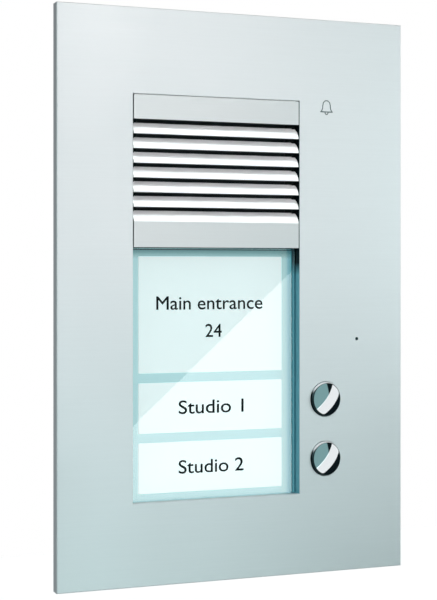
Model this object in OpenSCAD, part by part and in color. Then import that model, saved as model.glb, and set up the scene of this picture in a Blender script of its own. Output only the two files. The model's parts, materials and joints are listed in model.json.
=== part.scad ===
// Door intercom panel for a flush wall opening: an aluminium front plate with a louvred speaker
// grille, a backlit label window, two push buttons and a microphone hole, and behind it the
// electronics housing and the wall frame that the panel hangs on.
// Units are millimetres. X is to the right seen from the street, Z is up, and Y runs into the
// wall: y = 0 is the wall face, and x = z = 0 is the middle of the plate.

/* [Front plate] */
// Width of the front plate
plate_w = 160; // [158:1:170]
// Height of the front plate
plate_h = 225; // [222:1:240]
// Thickness of the front plate
plate_t = 4; // [3.5:0.5:5]
// How far each side of the plate runs in from front to back
side_undercut = 0.5; // [0.1:0.1:0.8]
// Width of the chamfer along the front edges
edge_break = 0.25; // [0.1:0.05:0.4]
// Plate's left edge to the opening
opening_left = 33; // [32:0.5:34]
// Plate's top edge to the opening
opening_top = 33.5; // [33:0.5:35]
// Width of the opening shared by grille and label window
opening_w = 76.6; // [76:0.2:77]
// Height of that opening
opening_h = 159; // [158:0.5:160]

/* [Grille] */
// Height of the grille
grille_h = 59.6; // [59:0.2:60]
// Number of louvre blades
blade_count = 7; // [5:1:7]
// Distance from one blade to the next
blade_pitch = 5.69; // [5.5:0.01:5.7]
// Outer radius of a blade's curved section
blade_r = 6.16; // [6:0.02:6.3]
// Sheet thickness of a blade
blade_t = 1; // [0.8:0.1:1.2]
// Height of the flat band above the blades
top_band_h = 9.45; // [9:0.05:10]

/* [Label window] */
// Gap round the pane and the grille
fit_gap = 0.3; // [0.3:0.05:0.4]
// How far the pane sits back from the plate's front
pane_recess = 3; // [2.5:0.1:3.2]
// Thickness of the clear pane
pane_t = 3; // [2.5:0.1:3]
// Width of the labels
label_w = 66; // [60:0.5:68]
// Height of the info label
info_label_h = 45.9; // [44:0.1:46]
// Height of a name label
name_label_h = 19.7; // [18:0.1:20]
// Gap between two labels
label_gap = 3.8; // [3:0.1:4]
// Opening's upper edge to the info label
label_top_margin = 3.5; // [3:0.1:4]
// Thickness of a label insert
label_t = 0.8; // [0.5:0.1:0.8]

/* [Buttons] */
// Diameter of a button cap
button_d = 13.8; // [13.4:0.1:14.4]
// Buttons' distance right of the plate's middle
button_x = 42.2; // [41:0.1:43]
// Height of the upper button
button_z = -42; // [-43:0.5:-41]
// Distance between the two buttons
button_pitch = 24.2; // [24:0.1:25]
// How far a cap stands proud of the plate
button_proud = 2.1; // [1.5:0.1:2.5]
// Travel of a button
button_travel = 0.8; // [0.4:0.1:0.8]

/* [Microphone] */
// Microphone hole's distance right of the plate's middle
mic_x = 57.7; // [57:0.1:58]
// Height of the microphone hole
mic_z = -17.7; // [-19:0.1:-17]
// Diameter of the microphone hole
mic_hole_d = 1.4; // [1:0.1:2]

/* [Wall frame] */
// Width of the wall frame
frame_w = 146; // [144:1:147]
// Height of the wall frame
frame_h = 212; // [210:1:212]
// Sheet thickness of the wall frame
frame_t = 1.5; // [1.5:0.1:2]
// Distance between the wall screws, across
wall_screw_dx = 110; // [100:1:112]
// Distance between the wall screws, up and down
wall_screw_dz = 197; // [196:0.5:197]
// Diameter of the wall screw holes
wall_screw_hole_d = 4.5; // [4:0.1:4.5]
// Thickness of the seal between the plate and the wall
seal_t = 3.2; // [3:0.1:4]

/* [Housing] */
// Depth of the electronics housing behind its front wall
housing_depth = 21.5; // [21:0.5:24]
// Wall thickness of the housing
housing_wall = 2; // [1.8:0.1:2]

/* [Hidden] */
$fn = 64;

cut = 1;             // how far a cutting shape runs past the face it cuts
bite = 0.05;         // hole over shaft, where a screw bites
m25 = 2.5;
m3 = 3;
m4 = 4;
screw_clear = 0.4;   // hole over shaft, where a screw passes

// Levels in depth, from the street inwards
y_plate_back = -seal_t;
y_plate = y_plate_back - plate_t;
y_pane = y_plate + pane_recess;
y_pane_back = y_pane + pane_t;
y_label = y_pane_back + fit_gap;
y_guide = y_label + label_t + 0.1;
guide_t = 3;
y_floor = y_guide + guide_t + 0.2;
floor_t = 1.6;
y_baffle = y_floor + floor_t;
y_bay = y_baffle + housing_wall;
y_housing_end = y_baffle + housing_depth;
cover_t = 2;
y_cover_end = y_housing_end + cover_t;

// Opening, grille and pane
x_open = [-plate_w / 2 + opening_left, -plate_w / 2 + opening_left + opening_w];
z_open = [plate_h / 2 - opening_top - opening_h, plate_h / 2 - opening_top];
x_mid = (x_open[0] + x_open[1]) / 2;
x_insert = [x_open[0] + fit_gap, x_open[1] - fit_gap];
z_grille = [z_open[1] - grille_h, z_open[1] - fit_gap];
z_blades_top = z_grille[1] - top_band_h;
z_blades_bottom = z_blades_top - blade_count * blade_pitch;
z_pane = [z_open[0] + fit_gap, z_grille[0] - fit_gap];
pane_chamfer = 0.3;
flange_t = 1.5;
y_flange = y_plate_back + flange_t;
grille_flange_x = [x_open[0] - 6, x_open[1] + 6];
grille_flange_z = [z_grille[0] + 2.6, z_open[1] + 6];
grille_stud_x = [x_open[0] - 3, x_open[1] + 3];
grille_stud_z = [z_grille[0] + 6.6, z_open[1] + 2.8];
rib_w = 1.5;
blade_turns = [12, 65]; // arc of a blade's section, from level at its front
y_rib = y_plate + 2.8;
y_screen = y_plate_back + 3;
screen_t = 0.4;
x_screen = [x_insert[0] + 2.5, x_insert[1] - 2.5];
z_screen = [z_grille[0] + 4, z_grille[1] - 4];

// Labels, from the top down
z_info = [z_grille[0] - label_top_margin - info_label_h, z_grille[0] - label_top_margin];
z_name_1 = [z_info[0] - label_gap - name_label_h, z_info[0] - label_gap];
z_name_2 = [z_name_1[0] - label_gap - name_label_h, z_name_1[0] - label_gap];
x_label = [x_mid - label_w / 2, x_mid + label_w / 2];
label_corner_r = 0.4;

// Label tray and backlight
pocket_gap = 0.2;
x_pocket = [x_open[0] - pocket_gap, x_open[1] + pocket_gap];
z_pocket = [z_open[0] - pocket_gap, z_grille[0] + pocket_gap];
tray_wall = 1.3;
tray_flange = 4;
channel_w = 3;
x_channel = x_pocket[0] - channel_w;
x_tray = [x_channel - tray_wall, x_pocket[1] + tray_wall];
z_tray = [z_pocket[0] - tray_wall, z_pocket[1] + tray_wall];
led_board_t = 1;
led_count = 8;
led_size = [1.2, 1.6, 3];
locator_x = x_tray[0] - 1.8;
locator_zs = [-70, 0];
fixing_xs = [x_mid - 27.5, x_mid + 27.5];
fixing_z = (z_name_2[0] + z_name_2[1]) / 2;
fixing_head_d = 7;
fixing_head_h = 2.4;
fixing_length = 6.5;

// Studs and standoffs on the plate's back
stud_nut_t = 2.4;
stud_over_nut = 0.8;
nut_af = 5.5;
y_grille_nut = y_flange;
button_gasket_t = 0.5;
button_flange_t = 2;
y_button_flange = y_plate_back + button_gasket_t;
y_button_nut = y_button_flange + button_flange_t;
button_zs = [button_z, button_z - button_pitch];
button_stud_zs = [button_z + 15, button_z - button_pitch - 15];
nut_places = concat(
    [for (x = grille_stud_x) for (z = grille_stud_z) [x, z, y_grille_nut]],
    [for (z = button_stud_zs) [button_x, z, y_button_nut]]
);
standoffs = [
    [x_open[0] - 12.2, 78], [x_open[0] - 12.2, -46], [x_open[1] + 12, 78], [x_open[1] + 12, -8]
];
housing_screw_l = 6.5;

// Speaker
speaker_z = (z_grille[0] + z_grille[1]) / 2;
speaker_r = 25;
speaker_hole_d = 45;
surround_r = [18, 21.5];
roll_r = (surround_r[1] - surround_r[0]) / 2;
roll_t = 0.4;
y_surround = y_bay + 0.7;
cone_t = 0.5;
coil_r = [6.2, 6.6];
y_cone_back = y_bay + 6;
dome_r = 9;
basket_t = 0.8;
y_basket = y_bay + 9.5;
clip_r = [25.3, 30];
clip_screw_r = 27.8;
clip_w = 7;
clip_t = 1;
clip_turns = [45 : 90 : 315];
clip_screw_l = 3.4;

// Buttons: cap, guide cup and switch behind each other
button_hole_d = button_d + 0.3;
cap_edge_r = 0.75;
cap_dome_r = 25;      // radius of the cap's slightly domed face
y_cap = y_plate - button_proud;
y_cap_flange = y_plate_back + fit_gap;
cap_flange_d = 16.8;
y_cap_back = y_cap_flange + 1;
stem_d = 5;
stem_play = 0.1;
y_stem_end = y_plate_back + 10.5;
cup_in_d = cap_flange_d + 0.8;
cup_out_d = 19.8;
y_cup_floor = y_plate_back + 6.5;
y_cup_end = y_cup_floor + 2;
button_flange_x = [button_x - cup_out_d / 2, button_x + cup_out_d / 2];
button_flange_z = [button_stud_zs[1] - 4, button_stud_zs[0] + 4];
post_xs = [button_x - 7.4, button_x + 7.4];
post_z = button_z - button_pitch / 2;
post_d = 4.6;
y_switch = y_stem_end + button_travel + 0.4;
y_button_board = y_switch + 3.2;
button_board_x = [button_x - 9, button_x + 9];
button_board_z = [button_zs[1] - 12, button_zs[0] + 12];
board_t = 1.6;
plunger_d = 3.4;
plunger_l = 2.4;
switch_side = 6.2;
spring_wire = 0.6;
spring_d = 9;
spring_turns = 4.5;
spring_steps = 14;   // rings for each turn

// Microphone
mic_well_d = 6;
mic_well_depth = 2;
felt_d = 5.8;
felt_t = 1;
boot_d = 11;
boot_lip = 1.5;
capsule_d = 9.6;
capsule_t = 4.5;
boot_length = 6.7;

// Electronics housing, main board and what it carries
housing_x = [x_open[0] - 7, x_open[1] + 1.2];
housing_z = [z_name_1[0] - 2.6, z_open[1] + 7];
housing_corner_r = 3;
bay_x = [housing_x[0] + housing_wall, housing_x[1] - housing_wall];
bay_z = [housing_z[0] + housing_wall, housing_z[1] - housing_wall];
ear_d = 8;
board_margin = 0.8;
main_board_x = [bay_x[0] + board_margin, bay_x[1] - board_margin];
main_board_z = [bay_z[0] + board_margin, z_grille[0]];
y_main_board = y_baffle + 7.5;
y_board_back = y_main_board + board_t;
board_hole_inset = 8.5;
board_holes = [
    for (x = [main_board_x[0] + board_hole_inset, main_board_x[1] - board_hole_inset])
    for (z = [main_board_z[0] + board_hole_inset, main_board_z[1] - board_hole_inset]) [x, z]
];
boss_d = 6;
cover_boss_inset = 4;
cover_holes = [
    for (x = [housing_x[0] + cover_boss_inset, housing_x[1] - cover_boss_inset])
    for (z = [housing_z[0] + cover_boss_inset, housing_z[1] - cover_boss_inset]) [x, z]
];
small_screw_l = 6;
chip_side = 12;
chip_centre = [x_mid - 22, -18];
chip_pins = 8;
relay_size = [15, 10.4, 8];
relay_corner = [x_mid - 31, -2];
capacitor_d = 8;
capacitor_h = 11;
capacitor_places = [[x_mid - 36, -34], [x_mid - 26, -36], [x_mid + 4, -26]];
connector_size = [7.5, 6, 5.8];
connector_places = [[x_mid - 4, 12], [x_mid + 27, -20], [x_mid + 27, -31]];
trimmer_z = -2;
volume_x = x_mid + 20;
mic_trimmer_x = x_mid + 32;
trimmer_side = 9;
trimmer_h = 5;
rotor_d = 6;
rotor_play = 0.1;
rotor_h = 3;
y_rotor = y_board_back + trimmer_h + 0.6 - rotor_h;
pole_pitch = 5.08;
pole_count = 4;
pole_xs = [for (i = [0 : pole_count - 1]) x_mid + (i - (pole_count - 1) / 2) * pole_pitch];
plug_half = (pole_count * pole_pitch + 1.6) / 2;
terminal_z = main_board_z[0] + 7.5;
header_half_z = 4.3;
header_h = 8.5;
header_wall = 1;
pin_side = 1;
y_plug = y_board_back + 1.8;
y_plug_shoulder = y_board_back + header_h + 0.4;
y_plug_end = y_plug_shoulder + 9.5;
plug_half_z = 5.75;
clamp_screw_d = 3.4;
grommet_z = -16;
grommet_half = 2.5;
grommet_depth = 7;
lead_d = 1.6;
vent_count = 7;
vent_pitch = 4.2;
vent_w = 26;

// Wall frame
side_bar = 8;
top_bar = 18;
lip_depth = 6;
window_x = frame_w / 2 - side_bar;
window_z = frame_h / 2 - top_bar;
hook_xs = [-35, 35];
hook_w = 8;
hook_t = 3;
hook_drop = 4.3;
z_hook = window_z + 7.5;
slot_h = hook_t + hook_drop + 0.5;
tab_w = 12;
y_tab = y_baffle;
tab_top_z = fixing_z + 5.5;
seal_w = 3;
seal_gap = 0.5;

// ---- shared shapes ----

// A box given by its limits along x, y and z
module block(x, y, z) {
    translate([x[0], y[0], z[0]]) cube([x[1] - x[0], y[1] - y[0], z[1] - z[0]]);
}

// A cylinder along Y at (x, z), from y[0] to y[1]
module rod(d, y, x = 0, z = 0) {
    translate([x, y[0], z]) rotate([-90, 0, 0]) cylinder(d = d, h = y[1] - y[0]);
}

// A hexagonal prism along Y, given by its width across flats
module hex_rod(af, y, x = 0, z = 0) {
    translate([x, y[0], z]) rotate([-90, 0, 0]) cylinder(d = af / cos(30), h = y[1] - y[0], $fn = 6);
}

// A section drawn in (radius, y), turned about the line along Y through (x, z)
module turned(x = 0, z = 0) {
    translate([x, 0, z]) rotate([-90, 0, 0]) rotate_extrude() children();
}

// A section drawn in (y, z), run along X between two limits
module along_x(x) {
    translate([x[0], 0, 0]) rotate([90, 0, 90]) linear_extrude(x[1] - x[0]) children();
}

// A section drawn in (x, y), run along Z between two limits
module along_z(z) {
    translate([0, 0, z[0]]) linear_extrude(z[1] - z[0]) children();
}

// A box with round corners in the x-z plane
module round_block(x, y, z, r) {
    block([x[0] + r, x[1] - r], y, z);
    block(x, y, [z[0] + r, z[1] - r]);
    for (cx = [x[0] + r, x[1] - r])
        for (cz = [z[0] + r, z[1] - r])
            rod(2 * r, y, cx, cz);
}

// A section with chamfered front corners and sides that run in by taper, as points (across, y)
function slab_section(half, y, chamfer, taper) = [
    [-half + chamfer, y[0]], [half - chamfer, y[0]], [half, y[0] + chamfer],
    [half - taper, y[1]], [-half + taper, y[1]], [-half, y[0] + chamfer]
];
function swapped(points) = [for (p = points) [p[1], p[0]]];

// A slab in the x-z plane whose front edges are chamfered, about (x, z)
module slab(w, h, y, chamfer, taper = 0, x = 0, z = 0) {
    translate([x, 0, z]) intersection() {
        along_z([-h / 2, h / 2]) polygon(slab_section(w / 2, y, chamfer, taper));
        along_x([-w / 2, w / 2]) polygon(swapped(slab_section(h / 2, y, chamfer, taper)));
    }
}

// What is cut away for a rectangular opening whose front edges are chamfered
function opening_section(half) = [
    [-half - edge_break - cut, y_plate - cut], [half + edge_break + cut, y_plate - cut],
    [half, y_plate + edge_break], [half, y_plate_back + cut],
    [-half, y_plate_back + cut], [-half, y_plate + edge_break]
];
module opening_cut(x, z) {
    half = [(x[1] - x[0]) / 2, (z[1] - z[0]) / 2];
    far = cut + edge_break;
    translate([x[0] + half[0], 0, z[0] + half[1]]) intersection() {
        along_z([-half[1] - far, half[1] + far]) polygon(opening_section(half[0]));
        along_x([-half[0] - far, half[0] + far]) polygon(swapped(opening_section(half[1])));
    }
}

// A screw with its head's underside at y. Its shaft runs along dir times Y, its head stands the
// other way and has a cross recess.
module pan_screw(d, head_d, head_h, length, x, y, z, dir = 1) {
    rim = head_h * 0.6;
    translate([x, y, z]) rotate([-90 * dir, 0, 0]) difference() {
        union() {
            cylinder(d = d, h = length);
            translate([0, 0, -rim]) cylinder(d = head_d, h = rim);
            translate([0, 0, -head_h]) cylinder(d1 = head_d * 0.7, d2 = head_d, h = head_h - rim);
        }
        for (turn = [0, 90])
            rotate([0, 0, turn])
                translate([-head_d * 0.28, -head_d * 0.07, -head_h - cut])
                    cube([head_d * 0.56, head_d * 0.14, cut + head_h * 0.5]);
    }
}

// Points of a Catmull-Rom curve through the given points, with n steps between neighbours
function curve_point(p, i, t) =
    let (a = p[max(i - 1, 0)], b = p[i], c = p[i + 1], d = p[min(i + 2, len(p) - 1)])
    0.5 * (2 * b + (c - a) * t + (2 * a - 5 * b + 4 * c - d) * t * t
        + (3 * b - a - 3 * c + d) * t * t * t);
function curve(p, n) = concat(
    [for (i = [0 : len(p) - 2]) for (s = [0 : n - 1]) curve_point(p, i, s / n)],
    [p[len(p) - 1]]
);

// A round tube swept along a path; up is a direction that the path never runs along
function unit(v) = v / norm(v);
function tangent(p, i) = unit(p[min(i + 1, len(p) - 1)] - p[max(i - 1, 0)]);
module swept_tube(path, d, up, sides = 8) {
    rings = len(path);
    points = [
        for (i = [0 : rings - 1])
            let (t = tangent(path, i), n = unit(cross(t, up)), b = cross(t, n))
            for (k = [0 : sides - 1])
                path[i] + d / 2 * (cos(360 * k / sides) * n + sin(360 * k / sides) * b)
    ];
    skin = [
        for (i = [0 : rings - 2]) for (k = [0 : sides - 1])
            let (next = (k + 1) % sides)
            [i * sides + k, i * sides + next, (i + 1) * sides + next, (i + 1) * sides + k]
    ];
    first_end = [for (k = [sides - 1 : -1 : 0]) k];
    last_end = [for (k = [0 : sides - 1]) (rings - 1) * sides + k];
    polyhedron(points, concat(skin, [first_end, last_end]), convexity = 8);
}

// ---- front plate and what is fixed to it ----

module front_plate() {
    through = [y_plate - cut, y_plate_back + cut];
    color("gainsboro") difference() {
        slab(plate_w, plate_h, [y_plate, y_plate_back], edge_break, side_undercut);
        opening_cut(x_open, z_open);
        for (z = button_zs) {
            rod(button_hole_d, through, button_x, z);
            turned(button_x, z) polygon([
                [0, y_plate - cut], [button_hole_d / 2 + edge_break + cut, y_plate - cut],
                [button_hole_d / 2, y_plate + edge_break], [0, y_plate + edge_break]
            ]);
        }
        rod(mic_hole_d, through, mic_x, mic_z);
        rod(mic_well_d, [y_plate_back - mic_well_depth, y_plate_back + cut], mic_x, mic_z);
    }
}

// Threaded studs welded to the plate's back, and two plain pegs that place the label tray
module plate_studs() {
    color("silver") {
        for (p = nut_places)
            rod(m3, [y_plate_back, p[2] + stud_nut_t + stud_over_nut], p[0], p[1]);
        for (z = locator_zs)
            rod(m3, [y_plate_back, y_flange + 0.6], locator_x, z);
    }
}

module stud_nuts() {
    color("darkgray")
        for (p = nut_places) difference() {
            hex_rod(nut_af, [p[2], p[2] + stud_nut_t], p[0], p[1]);
            rod(m3 + bite, [p[2] - cut, p[2] + stud_nut_t + cut], p[0], p[1]);
        }
}

module plate_standoffs() {
    color("silver")
        for (p = standoffs) difference() {
            hex_rod(nut_af, [y_plate_back, y_baffle], p[0], p[1]);
            rod(m3 + bite, [y_bay - housing_screw_l - 0.3, y_baffle + cut], p[0], p[1]);
        }
}

// Two hooks on the plate's back that drop behind the wall frame's top bar
module hanging_hooks() {
    y_lip = [0.3, 0.3 + hook_t];
    color("silver")
        for (x = hook_xs) {
            half = [x - hook_w / 2, x + hook_w / 2];
            block(half, [y_plate_back, y_lip[1]], [z_hook, z_hook + hook_t]);
            block(half, y_lip, [z_hook - hook_drop, z_hook + hook_t]);
        }
}

// ---- grille and speaker ----

// Curved blade: its foot is flush with the plate and its top is set back
module blade(z_foot) {
    reach = 2 * blade_r;
    along_x(x_insert)
        translate([y_plate + blade_r * cos(blade_turns[0]), z_foot - blade_r * sin(blade_turns[0])])
            intersection() {
                difference() {
                    circle(r = blade_r);
                    circle(r = blade_r - blade_t);
                }
                polygon(concat([[0, 0]],
                    [for (turn = blade_turns) [-reach * cos(turn), reach * sin(turn)]]));
            }
}

module speaker_grille() {
    y_band = [y_plate, y_plate_back];
    rib_xs = [x_insert[0], x_insert[1] - rib_w];
    color("lightgray") {
        block(x_insert, y_band, [z_blades_top, z_grille[1]]);
        block(x_insert, y_band, [z_grille[0], z_blades_bottom]);
        for (i = [1 : blade_count]) blade(z_blades_top - i * blade_pitch);
        for (x = rib_xs)
            block([x, x + rib_w], [y_rib, y_screen], [grille_flange_z[0], z_blades_top + 3]);
        difference() {
            round_block(grille_flange_x, [y_plate_back, y_flange], grille_flange_z, 2);
            block([x_insert[0] + 3, x_insert[1] - 3], [y_plate_back - cut, y_flange + cut],
                [z_blades_bottom, z_blades_top]);
            for (x = grille_stud_x) for (z = grille_stud_z)
                rod(m3 + screw_clear, [y_plate_back - cut, y_flange + cut], x, z);
        }
    }
}

module grille_screen() {
    color("black") block(x_screen, [y_screen, y_screen + screen_t], z_screen);
}

module speaker_gasket() {
    y = [y_screen + screen_t, y_baffle];
    color("dimgray") difference() {
        block(x_screen, y, z_screen);
        rod(speaker_hole_d, [y[0] - cut, y[1] + cut], x_mid, speaker_z);
    }
}

module speaker_frame() {
    wall_end = 12.9;
    color("gray") difference() {
        turned(x_mid, speaker_z) polygon([
            [surround_r[1], y_bay], [speaker_r, y_bay], [speaker_r, y_bay + 1],
            [surround_r[1] + 1.7, y_bay + 1], [wall_end, y_basket - basket_t], [wall_end, y_basket],
            [coil_r[1] + 0.4, y_basket], [coil_r[1] + 0.4, y_basket - basket_t],
            [wall_end - basket_t, y_basket - basket_t], [surround_r[1], y_bay + 1.1]
        ]);
        for (turn = [0 : 90 : 270])
            translate([x_mid, 0, speaker_z]) rotate([0, turn, 0])
                block([13.6, 21.2], [y_bay + 2.2, y_bay + 8], [-6, 6]);
    }
}

module speaker_surround() {
    centre = [(surround_r[0] + surround_r[1]) / 2, y_surround];
    color("darkslategray") turned(x_mid, speaker_z) intersection() {
        translate(centre) difference() {
            circle(r = roll_r);
            circle(r = roll_r - roll_t);
        }
        translate([surround_r[0], y_surround - roll_r - cut])
            square([2 * roll_r, roll_r + cut]);
    }
}

// Paper cone with the voice coil's former behind it
module speaker_cone() {
    y_edge = y_surround - roll_t;
    color("dimgray") turned(x_mid, speaker_z) polygon([
        [surround_r[0], y_edge], [surround_r[0], y_edge + cone_t], [coil_r[1], y_cone_back],
        [coil_r[1], y_basket + 1.6], [coil_r[0], y_basket + 1.6],
        [coil_r[0], y_cone_back - cone_t], [coil_r[1], y_cone_back - cone_t]
    ]);
}

module speaker_dust_cap() {
    y_rim = y_cone_back - cone_t;
    y_centre = y_rim + sqrt(dome_r * dome_r - coil_r[0] * coil_r[0]);
    color("black") turned(x_mid, speaker_z) intersection() {
        translate([0, y_centre]) difference() {
            circle(r = dome_r);
            circle(r = dome_r - 0.4);
        }
        translate([0, y_rim - dome_r]) square([coil_r[0], dome_r]);
    }
}

// Magnet between two plates, with the annular gap that the voice coil moves in
module speaker_magnet() {
    gap_r = [5.9, 7];
    plate_r = 14;
    magnet_r = 13;
    plate_h = 2;
    magnet_h = 4;
    y = [y_basket, y_basket + plate_h, y_basket + plate_h + magnet_h, y_basket + 2 * plate_h + magnet_h];
    color("slategray") turned(x_mid, speaker_z) polygon([
        [0, y[0]], [gap_r[0], y[0]], [gap_r[0], y[2]], [gap_r[1], y[2]], [gap_r[1], y[0]],
        [plate_r, y[0]], [plate_r, y[1]], [magnet_r, y[1]], [magnet_r, y[2]],
        [plate_r, y[2]], [plate_r, y[3]], [0, y[3]]
    ]);
}

module speaker_clips() {
    color("silver")
        for (turn = clip_turns)
            translate([x_mid, 0, speaker_z]) rotate([0, turn, 0]) difference() {
                union() {
                    block([clip_r[0], clip_r[1]], [y_bay, y_bay + clip_t], [-clip_w / 2, clip_w / 2]);
                    block([clip_r[0] - 1.9, clip_r[1]], [y_bay + clip_t, y_bay + 2 * clip_t],
                        [-clip_w / 2, clip_w / 2]);
                }
                rod(m25 + bite, [y_bay - cut, y_bay + 2 * clip_t + cut], clip_screw_r, 0);
            }
}

module speaker_screws() {
    color("silver")
        for (turn = clip_turns)
            pan_screw(m25, 4.6, 1.6, clip_screw_l,
                x_mid + clip_screw_r * cos(turn), y_bay + 2 * clip_t,
                speaker_z - clip_screw_r * sin(turn), -1);
}

// ---- label window and backlight ----

// Clear pane, which lifts out towards the street so that the labels can be changed
module label_window() {
    color("paleturquoise", 0.35)
        slab(x_insert[1] - x_insert[0], z_pane[1] - z_pane[0], [y_pane, y_pane_back], pane_chamfer,
            0, x_mid, (z_pane[0] + z_pane[1]) / 2);
}

module label_insert(z) {
    color("azure") round_block(x_label, [y_label, y_label + label_t], z, label_corner_r);
}
module info_label() { label_insert(z_info); }
module name_label_1() { label_insert(z_name_1); }
module name_label_2() { label_insert(z_name_2); }

// Acrylic sheet that spreads the light, with two holes over the fixing screws
module light_guide() {
    y = [y_guide, y_guide + guide_t];
    color("powderblue", 0.8) difference() {
        block([x_pocket[0] + 0.1, x_pocket[1] - 0.2], y, [z_pocket[0] + 0.2, z_pocket[1] - 0.2]);
        for (x = fixing_xs)
            rod(fixing_head_d + 1.4, [y[0] - cut, y[1] + cut], x, fixing_z);
    }
}

module label_tray() {
    color("lightcyan") difference() {
        union() {
            block(x_tray, [y_plate_back, y_baffle], z_tray);
            block([x_tray[0] - tray_flange, x_tray[1]], [y_plate_back, y_flange],
                [z_tray[0] - tray_flange, z_tray[1]]);
        }
        block(x_pocket, [y_plate_back - cut, y_floor], z_pocket);
        block([x_channel, x_pocket[0] + cut], [y_flange, y_floor], z_pocket);
        for (z = locator_zs)
            rod(m3 + screw_clear, [y_plate_back - cut, y_flange + cut], locator_x, z);
        for (x = fixing_xs)
            rod(m4 + screw_clear, [y_floor - cut, y_baffle + cut], x, fixing_z);
    }
}

module backlight_board() {
    color("seagreen")
        block([x_channel + 0.1, x_channel + 0.1 + led_board_t], [y_flange + 0.3, y_floor - 0.2],
            [z_pocket[0] + 4, z_pocket[1] - 4]);
}

module backlight_leds() {
    x = x_channel + 0.1 + led_board_t;
    y = y_guide + (guide_t - led_size[1]) / 2;
    span = z_pocket[1] - z_pocket[0] - 8;
    color("lemonchiffon")
        for (i = [0 : led_count - 1]) {
            z = z_pocket[0] + 4 + span * (i + 0.5) / led_count;
            block([x, x + led_size[0]], [y, y + led_size[1]], [z - led_size[2] / 2, z + led_size[2] / 2]);
        }
}

// ---- buttons ----

// Chrome cap: domed head with a round edge, a flange that stops behind the plate, and a guided stem
module button_cap(z) {
    r = button_d / 2;
    r_round = r - cap_edge_r;
    y_dome = y_cap + cap_dome_r;
    // The edge's round touches the dome from inside
    y_round = y_dome - sqrt(pow(cap_dome_r - cap_edge_r, 2) - r_round * r_round);
    r_touch = r_round * cap_dome_r / (cap_dome_r - cap_edge_r);
    color("whitesmoke") turned(button_x, z) union() {
        intersection() {
            translate([0, y_dome]) circle(r = cap_dome_r, $fn = 256);
            translate([0, y_cap]) square([r_touch, y_round - y_cap]);
        }
        translate([r_round, y_round]) circle(r = cap_edge_r);
        polygon([
            [0, y_round], [r, y_round],
            [r, y_cap_flange], [cap_flange_d / 2, y_cap_flange], [cap_flange_d / 2, y_cap_back],
            [stem_d / 2, y_cap_back], [stem_d / 2, y_stem_end], [0, y_stem_end]
        ]);
    }
}

module button_spring(z) {
    y0 = y_cap_back + spring_wire / 2;
    y1 = y_cup_floor - spring_wire / 2;
    last = spring_turns * spring_steps;
    path = [
        for (i = [0 : last])
            [button_x + spring_d / 2 * cos(360 * i / spring_steps), y0 + (y1 - y0) * i / last,
                z + spring_d / 2 * sin(360 * i / spring_steps)]
    ];
    color("silver") swept_tube(path, spring_wire, [0, 1, 0]);
}

// The switch's own plunger, which the stem's end rests on
module button_plunger(z) {
    color("firebrick") rod(plunger_d, [y_stem_end, y_stem_end + plunger_l], button_x, z);
}

module button_1_cap() { button_cap(button_zs[0]); }
module button_1_spring() { button_spring(button_zs[0]); }
module button_1_plunger() { button_plunger(button_zs[0]); }
module button_2_cap() { button_cap(button_zs[1]); }
module button_2_spring() { button_spring(button_zs[1]); }
module button_2_plunger() { button_plunger(button_zs[1]); }

module button_gasket() {
    y = [y_plate_back, y_button_flange];
    color("black") difference() {
        round_block(button_flange_x, y, button_flange_z, 2);
        for (z = button_zs) rod(cup_in_d, [y[0] - cut, y[1] + cut], button_x, z);
        for (z = button_stud_zs) rod(m3 + screw_clear, [y[0] - cut, y[1] + cut], button_x, z);
    }
}

// Moulding with one guide cup for each button and two posts for the switch board
module button_housing() {
    y = [y_button_flange, y_button_nut];
    color("darkslategray") difference() {
        union() {
            round_block(button_flange_x, y, button_flange_z, 2);
            for (z = button_zs) rod(cup_out_d, [y[0], y_cup_end], button_x, z);
            for (x = post_xs) rod(post_d, [y[0], y_button_board], x, post_z);
        }
        for (z = button_zs) {
            rod(cup_in_d, [y[0] - cut, y_cup_floor], button_x, z);
            rod(stem_d + stem_play, [y[0], y_cup_end + cut], button_x, z);
        }
        for (z = button_stud_zs) rod(m3 + screw_clear, [y[0] - cut, y[1] + cut], button_x, z);
        for (x = post_xs)
            rod(m25 + bite, [y_button_board + board_t - small_screw_l - 0.4, y_button_board + cut],
                x, post_z);
    }
}

module tact_switches() {
    half = switch_side / 2;
    color("black")
        for (z = button_zs) difference() {
            block([button_x - half, button_x + half], [y_switch, y_button_board],
                [z - half, z + half]);
            rod(plunger_d + 0.4, [y_switch - cut, y_button_board - 0.5], button_x, z);
        }
}

module button_board() {
    y = [y_button_board, y_button_board + board_t];
    color("seagreen") difference() {
        block(button_board_x, y, button_board_z);
        for (x = post_xs) rod(m25 + screw_clear, [y[0] - cut, y[1] + cut], x, post_z);
    }
}

module button_board_screws() {
    color("silver")
        for (x = post_xs)
            pan_screw(m25, 4.6, 1.6, small_screw_l, x, y_button_board + board_t, post_z, -1);
}

// ---- microphone ----

module microphone_felt() {
    y = y_plate_back - mic_well_depth;
    color("dimgray") rod(felt_d, [y, y + felt_t], mic_x, mic_z);
}

module microphone_boot() {
    y = y_plate_back;
    color("black") turned(mic_x, mic_z) polygon([
        [mic_hole_d / 2, y - mic_well_depth + felt_t], [felt_d / 2, y - mic_well_depth + felt_t],
        [felt_d / 2, y], [boot_d / 2, y], [boot_d / 2, y + boot_length],
        [capsule_d / 2, y + boot_length], [capsule_d / 2, y + boot_lip], [mic_hole_d / 2, y + boot_lip]
    ]);
}

module microphone_capsule() {
    y = y_plate_back + boot_lip;
    color("silver") rod(capsule_d, [y, y + capsule_t], mic_x, mic_z);
}

// ---- electronics housing ----

// Lug that a housing screw holds, reaching from the housing's side to a standoff
module housing_ear(p) {
    side = p[0] < x_mid ? [p[0], housing_x[0] + 1] : [housing_x[1] - 1, p[0]];
    rod(ear_d, [y_baffle, y_bay], p[0], p[1]);
    block(side, [y_baffle, y_bay], [p[1] - ear_d / 2, p[1] + ear_d / 2]);
}

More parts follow.
